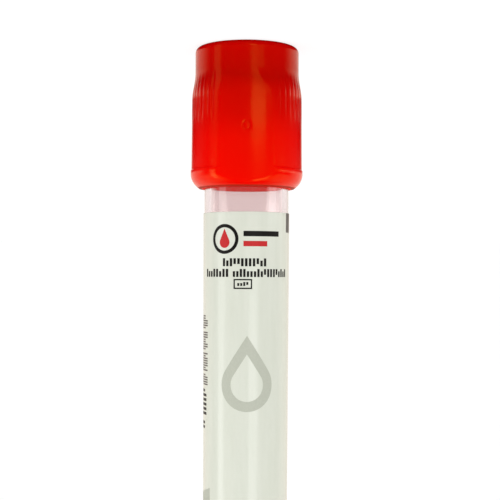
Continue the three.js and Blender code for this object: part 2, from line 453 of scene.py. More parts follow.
@dataclass(frozen=True)
class RedPolyethylene:
    """Translucent red polyethylene, injection moulded in a polished mould.

    The red is painted lighter where only the clear tube stands behind the thin wall, and deeper where
    the dark rubber stopper backs it: painted light that comes through the wall. The inside of the skirt,
    next to its mouth, glows with painted light that stands in for the light coming through, and the
    bottom face of its lip is matte and painted a deeper red, as painted shade.
    """

    # The red at each share of the cap's height, from its mouth to its top; lighter towards the mouth as
    # painted light that comes through the wall.
    reds_with_painted_light: tuple[tuple[float, str], ...] = (
        (0.06, "#f20100"),
        (0.32, "#ea0100"),
        (0.5, "#d40000"),
        (0.65, "#c70000"),
        (0.75, "#b40000"),
        (1.0, "#c60000"),
    )
    clouds_per_mm: float = 0.18
    cloud_drift: float = 3.0
    painted_glow_inside: str = "#e03c32"
    painted_glow_radius: float = 7.0
    painted_glow_height: float = 5.0
    painted_glow_share: float = 0.7
    painted_shade_underside: str = "#b81008"
    matte: float = 0.6
    roughness: float = 0.13
    ior: float = 1.51
    shine: float = 0.4
    shine_tint: str = "#ffd850"
    glow: float = 0.16
    glow_metres: tuple[float, float, float] = (0.004, 0.0006, 0.0004)
    orange_peel_mm: float = 1.6

    def material(self, frame: TubeFrame, low: float, high: float) -> Material:
        """Makes the material.

        Args:
            frame: The tube's frame.
            low: Height of the cap's bottom edge, in millimetres.
            high: Height of its top.

        Returns:
            The finished material.
        """
        material = bpy.data.materials.new("red_polyethylene")
        tree = empty_tree(material)
        place = tube_coordinates(tree, frame)
        height = add_node(tree, "SeparateXYZ", {"Vector": place}).outputs["Z"]
        cloud = add_node(tree, "TexNoise", {"Vector": place, "Scale": self.clouds_per_mm, "Detail": 2.0})
        drifted = add_node(tree, "Math", {0: cloud, 1: self.cloud_drift, 2: height}, operation="MULTIPLY_ADD")
        start = low + self.cloud_drift / 2
        end = high + self.cloud_drift / 2
        share = add_node(tree, "MapRange", {"Value": drifted, "From Min": start, "From Max": end})
        # The cap's own red, painted lighter near the mouth and deeper up top as painted light through the
        # wall.
        red = add_node(tree, "ValToRGB", {"Fac": share})
        stops = red.color_ramp.elements
        while len(stops) < len(self.reds_with_painted_light):
            stops.new(1.0)
        for stop, (position, colour) in zip(stops, self.reds_with_painted_light):
            stop.position = position
            stop.color = srgb(colour)
        # Painted glow: the inside of the skirt next to its mouth emits red of its own, standing in for light
        # that comes through the wall.
        radius = distance_from_axis(tree, place)
        edge = self.painted_glow_radius
        inside = add_node(tree, "MapRange", {"Value": radius, "From Min": edge, "From Max": edge - 0.1})
        fade = {"From Min": low + self.painted_glow_height, "From Max": low + 1, "To Max": self.painted_glow_share}
        near_mouth = add_node(tree, "MapRange", {"Value": height, **fade})
        through = add_node(tree, "Math", {0: inside, 1: near_mouth}, operation="MULTIPLY")
        painted_glow_colours = {"A": srgb(BLACK), "B": srgb(self.painted_glow_inside)}
        light = add_node(tree, "Mix", {"Factor": through, **painted_glow_colours}, data_type="RGBA")
        # The bottom face of the lip: matte, and painted a deeper red as painted shade.
        under = add_node(tree, "MapRange", {"Value": height, "From Min": low + 0.25, "From Max": low + 0.1})
        reds_with_painted_light = {"A": red, "B": srgb(self.painted_shade_underside)}
        colour = add_node(tree, "Mix", {"Factor": under, **reds_with_painted_light}, data_type="RGBA")
        polish = add_node(tree, "Mix", {"Factor": under, "A": self.roughness, "B": self.matte})
        peel = add_node(tree, "TexNoise", {"Vector": place, "Scale": 1 / self.orange_peel_mm, "Detail": 2.0})
        bump = add_node(tree, "Bump", {"Height": peel, "Strength": 0.05, "Distance": 0.0002})
        inputs = {
            "Base Color": colour,
            "Roughness": polish,
            "Normal": bump,
            "IOR": self.ior,
            "Specular IOR Level": self.shine,
            "Specular Tint": srgb(self.shine_tint),
            "Subsurface Weight": self.glow,
            "Subsurface Radius": self.glow_metres,
            "Subsurface Scale": 1.0,
            # The painted glow inside the skirt.
            "Emission Color": light,
            "Emission Strength": 1.0,
        }
        add_node(tree, "OutputMaterial", {"Surface": add_node(tree, "BsdfPrincipled", inputs)})
        return material


@dataclass(frozen=True)
class ClearPolyester:
    """Clear PET, injection moulded: water-clear and glossy, with faint flow waviness along the wall.

    The wall is tinted pink in the few millimetres next to the cap's edge: painted red light from the cap.
    """

    tint: str = "#f6f3f2"
    painted_cap_light: str = "#ecdddc"
    painted_cap_light_at: float = -2.0
    painted_cap_light_mm: float = 7.0
    ripples_per_mm: tuple[float, float, float] = (0.5, 0.5, 0.03)
    roughness: float = 0.04
    ior: float = 1.575

    def material(self, frame: TubeFrame) -> Material:
        """Makes the material.

        Args:
            frame: The tube's frame.

        Returns:
            The finished material.
        """
        material = bpy.data.materials.new("clear_polyester")
        tree = empty_tree(material)
        place = tube_coordinates(tree, frame)
        stretched = add_node(tree, "Mapping", {"Vector": place, "Scale": self.ripples_per_mm})
        flow = add_node(tree, "TexNoise", {"Vector": stretched, "Scale": 1.0})
        bump = add_node(tree, "Bump", {"Height": flow, "Strength": 0.06, "Distance": 0.0002})
        # Painted light: a pink tint near the cap's edge stands in for the cap's red light carried along the
        # wall.
        height = add_node(tree, "SeparateXYZ", {"Vector": place}).outputs["Z"]
        offset = add_node(tree, "Math", {0: height, 1: self.painted_cap_light_at}, operation="SUBTRACT")
        distance = add_node(tree, "Math", {0: offset}, operation="ABSOLUTE")
        reach = self.painted_cap_light_mm
        near = add_node(tree, "MapRange", {"Value": distance, "From Min": reach, "From Max": reach / 2})
        tints = {"A": srgb(self.tint), "B": srgb(self.painted_cap_light)}
        inputs = {
            "Base Color": add_node(tree, "Mix", {"Factor": near, **tints}, data_type="RGBA"),
            "Normal": bump,
            "Roughness": self.roughness,
            "IOR": self.ior,
            "Transmission Weight": 1.0,
        }
        add_node(tree, "OutputMaterial", {"Surface": add_node(tree, "BsdfPrincipled", inputs)})
        return material


@dataclass(frozen=True)
class ButylRubber:
    """Grey butyl rubber, compression moulded: matte, with a powdery fine grain and a faint bloom."""

    colour: str = "#6f6b6a"
    pale: str = "#807c7a"
    blooms_per_mm: float = 0.6
    grain_mm: float = 0.15
    roughness: float = 0.72
    ior: float = 1.52

    def material(self, frame: TubeFrame) -> Material:
        """Makes the material.

        Args:
            frame: The tube's frame.

        Returns:
            The finished material.
        """
        material = bpy.data.materials.new("butyl_rubber")
        tree = empty_tree(material)
        place = tube_coordinates(tree, frame)
        bloom = add_node(tree, "TexNoise", {"Vector": place, "Scale": self.blooms_per_mm})
        greys = {"A": srgb(self.colour), "B": srgb(self.pale)}
        grain = add_node(tree, "TexNoise", {"Vector": place, "Scale": 1 / self.grain_mm, "Detail": 3.0})
        inputs = {
            "Base Color": add_node(tree, "Mix", {"Factor": bloom, **greys}, data_type="RGBA"),
            "Normal": add_node(tree, "Bump", {"Height": grain, "Strength": 0.25, "Distance": 0.00003}),
            "Roughness": self.roughness,
            "IOR": self.ior,
        }
        add_node(tree, "OutputMaterial", {"Surface": add_node(tree, "BsdfPrincipled", inputs)})
        return material


@dataclass(frozen=True)
class LabelFilm:
    """Cream self-adhesive film with a semi-gloss topcoat.

    The film lies on a moulded tube that is never quite round, so its sheen breaks into faint
    upright bands. Its back glows faintly with painted light, which stands in for light that comes
    through the film.
    """

    colour: str = "#dee1d4"
    shade: str = "#d6dacb"
    bands_per_mm: tuple[float, float, float] = (0.2, 0.2, 0.02)
    fibre_mm: float = 0.35
    roughness: float = 0.5
    ior: float = 1.49
    coat_roughness: float = 0.16
    painted_back_glow: float = 0.35

    def material(self, frame: TubeFrame, middle: Callable[[float], float]) -> Material:
        """Makes the material.

        Args:
            frame: The tube's frame.
            middle: Gives the radius half way through the film at a height.

        Returns:
            The finished material.
        """
        material = bpy.data.materials.new("label_film")
        tree = empty_tree(material)
        place = tube_coordinates(tree, frame)
        height = add_node(tree, "SeparateXYZ", {"Vector": place}).outputs["Z"]
        # Painted glow: the back of the film emits its own cream, standing in for light that comes through it.
        low, high = frame.heights("label")
        ends = {"From Min": low, "From Max": high, "To Min": middle(low), "To Max": middle(high)}
        half_way = add_node(tree, "MapRange", {"Value": height, **ends})
        radius = distance_from_axis(tree, place)
        back = add_node(tree, "Math", {0: radius, 1: half_way}, operation="LESS_THAN")
        painted_glow_colours = {"A": srgb(BLACK), "B": srgb(self.colour)}
        light = add_node(tree, "Mix", {"Factor": back, **painted_glow_colours}, data_type="RGBA")
        stretched = add_node(tree, "Mapping", {"Vector": place, "Scale": self.bands_per_mm})
        band = add_node(tree, "TexNoise", {"Vector": stretched, "Detail": 1.0})
        creams = {"A": srgb(self.colour), "B": srgb(self.shade)}
        colour = add_node(tree, "Mix", {"Factor": band, **creams}, data_type="RGBA")
        wave = add_node(tree, "Bump", {"Height": band, "Strength": 0.1, "Distance": 0.0003})
        fibre = add_node(tree, "TexNoise", {"Vector": place, "Scale": 1 / self.fibre_mm, "Detail": 3.0})
        grain = {"Height": fibre, "Normal": wave, "Strength": 0.1, "Distance": 0.00002}
        inputs = {
            "Base Color": colour,
            "Normal": add_node(tree, "Bump", grain),
            "Roughness": self.roughness,
            "IOR": self.ior,
            "Coat Weight": 1.0,
            "Coat Roughness": self.coat_roughness,
            "Emission Color": light,
            "Emission Strength": self.painted_back_glow,
        }
        add_node(tree, "OutputMaterial", {"Surface": add_node(tree, "BsdfPrincipled", inputs)})
        return material


@dataclass(frozen=True)
class PrintingInk:
    """Flexographic printing ink: one flat colour, a little uneven where the film took less of it."""

    name: str
    colour: str
    thin: str
    mottle_mm: float = 0.25
    roughness: float = 0.45
    ior: float = 1.49
    shine: float = 0.3

    def material(self, frame: TubeFrame) -> Material:
        """Makes the material.

        Args:
            frame: The tube's frame.

        Returns:
            The finished material.
        """
        material = bpy.data.materials.new(self.name)
        tree = empty_tree(material)
        place = tube_coordinates(tree, frame)
        mottle = add_node(tree, "TexNoise", {"Vector": place, "Scale": 1 / self.mottle_mm, "Detail": 2.0})
        inks = {"A": srgb(self.colour), "B": srgb(self.thin)}
        inputs = {
            "Base Color": add_node(tree, "Mix", {"Factor": mottle, **inks}, data_type="RGBA"),
            "Roughness": self.roughness,
            "IOR": self.ior,
            "Specular IOR Level": self.shine,
        }
        add_node(tree, "OutputMaterial", {"Surface": add_node(tree, "BsdfPrincipled", inputs)})
        return material


# --- The clear tube ---


@dataclass
class ClearTube:
    """The moulded tube: a round bottom with the gate's stub, a slight taper and a rounded mouth."""

    frame: TubeFrame
    wall: float = 1.0
    lip_round: float = 0.3
    base_radius: float = 6.3
    stub_radius: float = 0.9
    stub_height: float = 0.3
    stub_round: float = 0.12
    arc_margin: float = 2.0
    outer_arc_facets: int = 24
    inner_arc_facets: int = 22
    facets: int = 160
    finish: ClearPolyester = field(default_factory=ClearPolyester)

    def build(self) -> None:
        """Turns the tube and dresses it."""
        low, high = self.frame.heights("tube")
        mouth_radius = self.frame.reach("tube")
        inner = self.base_radius - self.wall
        centre = low + self.stub_height + self.base_radius
        margin = math.radians(self.arc_margin)
        stub_angle = math.asin(self.stub_radius / self.base_radius)
        outer_arc = arc(self.base_radius, stub_angle + margin, math.pi / 2 - margin, self.outer_arc_facets)
        inner_arc = arc(inner, math.pi / 2 - margin, 0, self.inner_arc_facets)
        stub = [
            Corner(0, low),
            Corner(self.stub_radius, low, self.stub_round),
            Corner(self.stub_radius, low + self.stub_height + 0.1),
        ]
        mouth = [
            Corner(self.base_radius, centre),
            Corner(mouth_radius, high, self.lip_round),
            Corner(mouth_radius - self.wall, high, self.lip_round),
            Corner(inner, centre),
        ]
        profile = [
            *rounded(stub),
            *(Vector((out, 0, centre + up)) for out, up in outer_arc),
            *rounded(mouth),
            *(Vector((out, 0, centre + up)) for out, up in inner_arc),
        ]
        piece = turned("clear_tube", profile, self.facets, smooth_angle=40)
        self.frame.settle(piece)
        dress(piece, self.finish.material(self.frame))
        piece.visible_shadow = False
        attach(piece, Body.TUBE.value)
        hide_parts("tube")


# --- The rubber stopper ---


@dataclass
class RubberStopper:
    """The moulded stopper: a flange over the mouth, a ringed plug, a needle well and a hollow below."""

    frame: TubeFrame
    flange_edge: float = 0.3
    well_mouth: float = 3.7
    well_floor: float = 3.2
    well_depth: float = 4.0
    hollow_radius: float = 2.6
    hollow_depth: float = 6.3
    plug_depth: float = 7.1
    ring_relief: float = 0.3
    ring_height: float = 1.1
    ring_count: int = 2
    facets: int = 128
    finish: ButylRubber = field(default_factory=ButylRubber)

    def build(self) -> None:
        """Turns the stopper and dresses it."""
        low, high = self.frame.heights("stopper")
        flange_radius = self.frame.reach("stopper")
        flange_low = low + self.plug_depth
        ring_radius = self.frame.reach("stopper", high=flange_low - 1)
        shank = ring_radius - self.ring_relief
        corners = [
            Corner(0, low + self.hollow_depth),
            Corner(self.hollow_radius, low + self.hollow_depth, 1.2),
            Corner(self.hollow_radius, low, 0.25),
            Corner(shank, low, 0.6),
        ]
        for ring in range(1, self.ring_count + 1):
            middle = low + ring * (self.plug_depth - 0.1) / (self.ring_count + 1)
            reach = self.ring_height / 2 + self.ring_relief
            corners += [
                Corner(shank, middle - reach, 0.15),
                Corner(ring_radius, middle - self.ring_height / 2, 0.3),
                Corner(ring_radius, middle + self.ring_height / 2, 0.3),
                Corner(shank, middle + reach, 0.15),
            ]
        corners += [
            Corner(shank, flange_low, 0.3),
            Corner(flange_radius, flange_low, self.flange_edge),
            Corner(flange_radius, high, self.flange_edge),
            Corner(self.well_mouth, high, 0.35),
            Corner(self.well_floor, high - self.well_depth, 0.8),
            Corner(0, high - self.well_depth),
        ]
        piece = turned("rubber_stopper", rounded(corners), self.facets)
        self.frame.settle(piece)
        dress(piece, self.finish.material(self.frame))
        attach(piece, Body.STOPPER.value)
        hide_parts("stopper")


# --- The safety cap ---


@dataclass
class SafetyCap:
    """The moulded safety cap: a turned shell, flattened thumb panels, and fine grip grooves at the sides.

    Sizes are in millimetres and degrees. Heights and feet of the rim, lip and pocket count from the bottom
    edge, and those of the flare, grooves and gate from the top.
    """

    frame: TubeFrame
    top_radius: float = 8.0
    body_radius: float = 8.48
    skirt_radius: float = 8.56
    flare_start: float = 3.9
    flare_length: float = 4.3
    top_round: float = 0.9
    rim_height: float = 2.9
    rim_band: float = 0.45
    rim_round: float = 2.6
    rim_step: float = 0.15
    rim_facets: int = 14
    lip_radius: float = 7.35
    lip_bore: float = 6.8
    lip_height: float = 0.7
    lip_lead: float = 1.2
    opening: float = 4.6
    roof: float = 1.1
    skirt_wall: float = 1.2
    pocket: float = 7.05
    pocket_foot: float = 12.4
    bead: float = 6.75
    bead_height: float = 0.8
    bead_lead: float = 0.6
    panel_radius: float = 17.0
    panel_distance: float = 8.005
    panel_blend: float = 0.07
    groove_first: float = 37.5
    groove_pitch: float = 7.5
    groove_count: int = 15
    groove_depth: float = 0.08
    groove_width: float = 0.2
    groove_top: float = 3.9
    groove_lead: float = 4.0
    groove_foot: float = 12.7
    groove_runout: float = 3.5
    gate_drop: float = 12.8
    gate_radius: float = 0.55
    gate_depth: float = 0.13
    gate_width: float = 0.14
    facets: int = 480
    row_pitch: float = 0.22
    finish: RedPolyethylene = field(default_factory=RedPolyethylene)

    @cached_property
    def top(self) -> float:
        """Height of the cap's top."""
        return self.frame.heights("safety_cap")[1]

    def body_radius_at(self, height: float) -> float:
        """Finds how wide the turned body is between the rim and the top, before the grip is shaped.

        Args:
            height: The height above the cap's bottom edge.

        Returns:
            The outside radius.
        """
        flare_foot = self.top - self.flare_start - self.flare_length
        if height < flare_foot:
            share = (height - self.rim_height) / (flare_foot - self.rim_height)
            return self.skirt_radius + (self.body_radius - self.skirt_radius) * share
        share = min((height - flare_foot) / self.flare_length, 1.0)
        ease = (1 - math.cos(math.pi * share)) / 2
        return self.body_radius + (self.top_radius - self.body_radius) * ease

    def profile(self) -> list[Vector]:
        """Draws the cap's section, from the lip round the outside and back through the inside.

        Returns:
            Its points, as (radius, 0, height).
        """
        rim_radius = self.frame.reach("safety_cap", high=self.rim_height)
        rim_top = self.rim_height - self.rim_step
        bead_low = self.pocket_foot - self.bead_height
        bore = self.skirt_radius - self.skirt_wall
        lip = [Corner(self.lip_bore, 0.2), Corner(self.lip_bore, 0, 0.1), Corner(self.lip_radius, 0, 0.15)]
        centre = Vector((rim_radius - self.rim_round, 0, rim_top - self.rim_band))
        lip_angle = math.asin((self.lip_radius - centre.x) / self.rim_round)
        edge = arc(self.rim_round, lip_angle, math.pi / 2, self.rim_facets)
        band = [
            Corner(rim_radius, rim_top - self.rim_band),
            Corner(rim_radius, rim_top, 0.1),
            Corner(self.skirt_radius, self.rim_height, 0.05),
            Corner(self.skirt_radius, self.rim_height + 0.3),
        ]
        first_row = Vector((0, 0, self.rim_height + 0.3 + self.row_pitch))
        rows = stepped(first_row, Vector((0, 0, self.top - self.top_round - 0.1)), self.row_pitch)
        body = [Vector((self.body_radius_at(row.z), 0, row.z)) for row in rows]
        inside = [
            Corner(self.top_radius, self.top - self.top_round - 0.05),
            Corner(self.top_radius, self.top, self.top_round),
            Corner(self.opening, self.top, 0.3),
            Corner(self.opening, self.top - self.roof, 0.1),
            Corner(self.pocket, self.top - self.roof, 0.3),
            Corner(self.pocket, self.pocket_foot, 0.1),
            Corner(self.bead, self.pocket_foot, 0.15),
            Corner(self.bead, bead_low, 0.2),
            Corner(bore, bead_low - self.bead_lead, 0.3),
            Corner(bore, self.lip_height + self.lip_lead, 0.3),
            Corner(self.lip_bore, self.lip_height, 0.2),
            Corner(self.lip_bore, 0.2),
        ]
        rim = [centre + Vector((out, 0, up)) for out, up in edge]
        return [*rounded(lip), *rim, *rounded(band, steps=3), *body, *rounded(inside, steps=7)]

    def panel_limit(self, angle: float) -> float:
        """How far out a thumb panel lets the wall stand, at an angle in radians from its middle."""
        offset = self.panel_radius - self.panel_distance
        return math.sqrt(self.panel_radius**2 - (offset * math.sin(angle)) ** 2) - offset * math.cos(angle)

    def groove_depth_at(self, angle: float, height: float) -> float:
        """Finds how deep the grip grooves are.

        Args:
            angle: Angle from the middle of the front, in radians.
            height: The height above the cap's bottom edge.

        Returns:
            The depth.
        """
        drop = self.top - height
        fade_in = smooth_step((drop - self.groove_top) / self.groove_lead)
        fade_out = smooth_step((self.groove_foot - drop) / self.groove_runout)
        turns = (abs(math.degrees(angle)) - self.groove_first) / self.groove_pitch
        nearest = min(max(round(turns), 0), self.groove_count - 1)
        offset = math.radians((turns - nearest) * self.groove_pitch) * self.body_radius
        return self.groove_depth * fade_in * fade_out * math.exp(-((offset / self.groove_width) ** 2))

    def gate_depth_at(self, side: float, height: float) -> float:
        """Depth of the ring left by the moulding gate on the front panel."""
        distance = math.hypot(side, height - (self.top - self.gate_drop))
        return self.gate_depth * math.exp(-(((distance - self.gate_radius) / self.gate_width) ** 2))

    def shape_grip(self, piece: Object) -> None:
        """Presses the panels, the grooves and the gate's ring into the outside of the turned shell.

        Args:
            piece: The shell.
        """
        inside = self.skirt_radius - self.skirt_wall + 0.1
        for vertex in piece.data.vertices:
            side, back, height = vertex.co
            radius = math.hypot(side, back)
            if radius < inside or height > self.top - self.top_round - 0.02:
                continue
            angle = math.atan2(side, -back)
            from_panel = min(abs(angle), math.pi - abs(angle))
            excess = (self.panel_limit(from_panel) - radius) / self.panel_blend
            pressed = radius - self.panel_blend * math.log1p(math.exp(-min(excess, 30.0)))
            if height > self.rim_height:
                pressed -= self.groove_depth_at(angle, height)
            if back < 0:
                pressed -= self.gate_depth_at(side, height)
            vertex.co.x *= pressed / radius
            vertex.co.y *= pressed / radius

    def build(self) -> None:
        """Turns, shapes and dresses the cap."""
        piece = turned("red_safety_cap", self.profile(), self.facets, smooth_angle=50)
        self.shape_grip(piece)
        self.frame.settle(piece)
        low, high = self.frame.heights("safety_cap")
        dress(piece, self.finish.material(self.frame, low, high))
        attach(piece, Body.CAP.value)
        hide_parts("safety_cap")


# --- The label and its print ---


@dataclass
class WrappedLabel:
    """One strip of film wrapped round the tapered tube, with a bare window between its two ends."""

    frame: TubeFrame
    thickness: float = 0.12
    window_start: float = 86.0
    window_angle: float = 36.0
    facets: int = 216
    finish: LabelFilm = field(default_factory=LabelFilm)

    @cached_property
    def edges(self) -> tuple[float, float]:
        """Heights of the label's two edges, the one next to the cap last."""
        return self.frame.heights("label")

    @cached_property
    def edge_radii(self) -> tuple[float, float]:
        """Outside radius of the film at its two edges."""
        low, high = self.edges
        return self.frame.reach("label", high=low + 0.01), self.frame.reach("label", low=high - 0.01)

    def radius_at(self, height: float) -> float:
        """Outside radius of the film at a height."""
        (low, high), (narrow, wide) = self.edges, self.edge_radii
        return narrow + (wide - narrow) * (height - low) / (high - low)

    def build(self) -> None:
        """Sweeps the film's section round the tube and dresses it."""
        low, high = self.edges
        corners = [
            Corner(self.radius_at(low) - self.thickness, low, 0.02),
            Corner(self.radius_at(low), low, 0.03),
            Corner(self.radius_at(high), high, 0.03),
            Corner(self.radius_at(high) - self.thickness, high, 0.02),
        ]
        piece = new_piece("printed_label")
        trace(held(rounded(corners, steps=2, closed=True)))
        spin(self.facets, 360 - self.window_angle)
        bpy.ops.mesh.select_all(action="SELECT")
        bpy.ops.mesh.remove_doubles(threshold=MERGE_DISTANCE)
        bpy.ops.mesh.select_all(action="DESELECT")
        bpy.ops.mesh.select_non_manifold()
        bpy.ops.mesh.edge_face_add()
        close_up(piece, smooth_angle=30)
        piece.rotation_euler.z = math.radians(self.window_start + self.window_angle - 90)
        bpy.ops.object.transform_apply(location=False, rotation=True, scale=False)
        self.frame.settle(piece)
        half = self.thickness / 2
        dress(piece, self.finish.material(self.frame, lambda height: self.radius_at(height) - half))
        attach(piece, Body.TUBE.value)
        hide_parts("label")


class Flat(NamedTuple):
    """A place on the unrolled label: along the film to the right, and down from its top edge."""

    along: float
    down: float


class Box(NamedTuple):
    """A field on the unrolled label: its two sides along the film, and the depths of its ends."""

    left: float
    right: float
    top: float
    bottom: float


@dataclass(frozen=True)
class Mark:
    """One printed mark on the unrolled label.

    Attributes:
        outline: The mark's outline.
        stroke: Width of a line drawn just inside the outline, or None for a mark that is filled.
    """

    outline: tuple[Flat, ...]
    stroke: float | None = None


def bar(box: Box, stroke: float | None = None) -> Mark:
    """An upright rectangle, or its outline where a stroke is given."""
    left, right, top, bottom = box
    return Mark((Flat(left, top), Flat(right, top), Flat(right, bottom), Flat(left, bottom)), stroke)


def circle(along: float, down: float, radius: float, stroke: float | None = None) -> Mark:
    """A disc, or a ring where a stroke is given."""
    *outline, _ = [Flat(along + x, down + y) for x, y in arc(radius, 0, math.tau, 48)]
    return Mark(tuple(outline), stroke)


def drop(along: float, tip: float, radius: float, height: float, stroke: float | None = None) -> Mark:
    """A drop with its tip up.

    Args:
        along: Place of its middle along the film.
        tip: Depth of its tip below the label's top edge.
        radius: Radius of its round lower end.
        height: Its whole height.
        stroke: Width of its line, or None for a filled drop.

    Returns:
        The mark.
    """
    centre = tip + height - radius
    reach = math.acos(radius / (height - radius))
    round_end = arc(radius, reach, math.tau - reach, 40)
    return Mark((Flat(along, tip), *(Flat(along + x, centre + y) for x, y in round_end)), stroke)


@dataclass
class PrintedLayer:
    """Everything on the label in one ink, as a thin film that follows the label's curve."""

    label: WrappedLabel
    name: str
    ink: PrintingInk
    marks: Sequence[Mark]
    film: float = 0.012
    lift: float = 0.002
    bend_pitch: float = 0.4

    def draw(self, mark: Mark) -> None:
        """Draws one flat mark in the XZ plane, in edit mode.

        Args:
            mark: The mark.
        """
        trace([Vector((corner.along, 0, -corner.down)) for corner in mark.outline])
        bpy.ops.mesh.select_linked()
        bpy.ops.mesh.edge_face_add()
        if mark.stroke:
            bpy.ops.mesh.inset(thickness=mark.stroke)
            bpy.ops.mesh.delete(type="FACE")

    def slice_across(self) -> None:
        """Cuts the flat marks into upright slices, so that they can bend."""
        reach = max(abs(corner.along) for mark in self.marks for corner in mark.outline)
        cuts = math.ceil(reach / self.bend_pitch)
        for i in range(-cuts, cuts + 1):
            bpy.ops.mesh.select_all(action="SELECT")
            bpy.ops.mesh.bisect(plane_co=(i * self.bend_pitch, 0, 0), plane_no=(1, 0, 0))

    def wrap(self, piece: Object) -> None:
        """Bends the flat film round the label.

        Args:
            piece: The film.
        """
        for vertex in piece.data.vertices:
            along, back, up = vertex.co
            height = self.label.edges[1] + up
            surface = self.label.radius_at(height)
            angle = along / surface
            radius = surface + self.lift - back
            vertex.co = Vector((radius * math.sin(angle), -radius * math.cos(angle), height))

    def build(self) -> None:
        """Draws the marks flat, gives them their thickness and wraps them round the label."""
        piece = new_piece(self.name)
        for mark in self.marks:
            self.draw(mark)
        bpy.ops.mesh.select_all(action="SELECT")
        bpy.ops.mesh.extrude_region_move(TRANSFORM_OT_translate={"value": (0, -self.film, 0)})
        self.slice_across()
        close_up(piece, smooth_angle=30)
        self.wrap(piece)
        self.label.frame.settle(piece)
        dress(piece, self.ink.material(self.label.frame))
        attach(piece, Body.TUBE.value)


@dataclass
class LabelPrint:
    """What is printed on the label: a drop in a ring, ruled lines, a pale drop and plain marks.

    Places are in millimetres on the unrolled film: along from the middle of its front, and down from its
    top edge. Shares are of the pitch from one stroke or block to the next, and of a block's height.
    """

    label: WrappedLabel
    stroke_gap: float = 0.34
    block_gap: float = 0.18
    fine_gap: float = 0.4
    shortening: float = 0.28
    dice: random.Random = field(default_factory=lambda: random.Random(4))

    def ruled_block(self, box: Box, count: int) -> list[Mark]:
        """Rules upright strokes side by side, each of full height or a little short at one end.

        Args:
            box: The field that they fill.
            count: How many strokes there are.

        Returns:
            The strokes.
        """
        left, right, top, bottom = box
        pitch = (right - left) / (count - self.stroke_gap)
        short = (bottom - top) * self.shortening
        marks = []
        for i in range(count):
            start = left + i * pitch
            cut = self.dice.choice((0, 0, 1, 2))
            upper = top + short if cut == 1 else top
            lower = bottom - short if cut == 2 else bottom
            marks.append(bar(Box(start, start + pitch * (1 - self.stroke_gap), upper, lower)))
        return marks

    def ruled_line(self, box: Box, blocks: int) -> list[Mark]:
        """Rules a line of blocks of two strokes.

        Args:
            box: The field that they fill.
            blocks: How many blocks there are.

        Returns:
            All their strokes.
        """
        left, right, top, bottom = box
        pitch = (right - left) / (blocks - self.block_gap)
        width = pitch * (1 - self.block_gap)
        fields = [Box(left + i * pitch, left + i * pitch + width, top, bottom) for i in range(blocks)]
        return [mark for block in fields for mark in self.ruled_block(block, 2)]

    def fine_column(self, box: Box, pitch: float) -> list[Mark]:
        """Rules fine strokes across a column that is read along the tube, with one left out in nine.

        Args:
            box: The column.
            pitch: Distance from one stroke to the next.

        Returns:
            The strokes.
        """
        left, right, top, bottom = box
        marks = []
        for i in range(round((bottom - top) / pitch)):
            if i % 9 == 6:
                continue
            upper = top + i * pitch
            start = left + self.dice.choice((0, 0.1, 0.2)) * (right - left)
            end = right - self.dice.choice((0, 0, 0.3)) * (right - left)
            marks.append(bar(Box(start, end, upper, upper + pitch * (1 - self.fine_gap))))
        return marks

    def build(self) -> None:
        """Prints the four inks, black first."""
        black = [
            circle(-3.4, 4.1, 2.25, stroke=0.5),
            bar(Box(-0.4, 5.5, 2.9, 3.7)),
            *self.ruled_line(Box(-3.66, 3.14, 7.0, 8.2), 6),
            *self.ruled_line(Box(-7.38, -2.75, 8.6, 9.8), 4),
            *self.ruled_line(Box(-2.0, 7.38, 8.6, 9.8), 9),
            bar(Box(-1.88, 0.93, 10.1, 11.6), stroke=0.2),
            *self.ruled_block(Box(-1.3, 0.35, 10.55, 11.15), 4),
            *self.fine_column(Box(-9.7, -7.5, 27.0, 33.4), 0.7),
        ]
        # The drop inside the black ring, and the lower bar.
        red = [drop(-3.4, 2.55, 0.85, 2.9), bar(Box(-0.4, 3.3, 4.4, 5.2))]
        # The eye mark that a labelling machine reads, and the fine column at the left.
        grey = [bar(Box(7.62, 9.2, 0.05, 3.0)), *self.fine_column(Box(-9.9, -7.1, 15.7, 26.4), 0.36)]
        # The large drop, and the tab low at the left.
        tab = Mark((Flat(-10, 43.1), Flat(-6.3, 41.9), Flat(-6.3, 45), Flat(-10, 45)))
        pale = [drop(0.2, 18.6, 4.0, 11.4, stroke=1.5), tab]
        layers = (
            ("black_print", PrintingInk("black_ink", "#100d0b", "#1c1917"), black),
            ("red_print", PrintingInk("red_ink", "#c0161c", "#ca2629"), red),
            ("grey_print", PrintingInk("grey_ink", "#5c5552", "#6b6461"), grey),
            ("pale_print", PrintingInk("pale_ink", "#b3b7a8", "#bfc2b4"), pale),
        )
        for name, ink, marks in layers:
            PrintedLayer(self.label, name, ink, marks).build()


# --- The studio ---


@dataclass(frozen=True)
class StripLight:
    """A softbox that stands parallel to the tube.

    Attributes:
        name: Its name.
        bearing: Degrees from straight in front of the label to its right.
        width: Its apparent width in degrees.
        low: Height of its lower end above the bottom edge of the cap, in millimetres.
        high: Height of its upper end.
        brightness: How bright its face is, where 1 is white.
    """

    name: str
    bearing: float
    width: float
    low: float
    high: float
    brightness: float

    def build(self, frame: TubeFrame, distance: float) -> None:
        """Sets the lamp up, facing the tube.

        Args:
            frame: The tube's frame.
            distance: How far from the tube's axis it stands, in metres.
        """
        angle = math.radians(self.bearing)
        away = frame.side * math.sin(angle) + frame.front * math.cos(angle)
        middle = frame.point(0, 0, (self.low + self.high) / 2)
        bpy.ops.object.light_add(type="AREA", location=middle + away * distance)
        lamp = bpy.context.active_object
        lamp.name = self.name
        lamp.rotation_euler = Matrix((frame.along.cross(away), frame.along, away)).transposed().to_euler()
        lamp.data.shape = "RECTANGLE"
        lamp.data.size = 2 * distance * math.tan(math.radians(self.width) / 2)
        lamp.data.size_y = (self.high - self.low) * METRES_PER_MM
        lamp.data.energy = WHITE_FACE_WATTS * lamp.data.size * lamp.data.size_y * self.brightness
        lamp.visible_camera = False


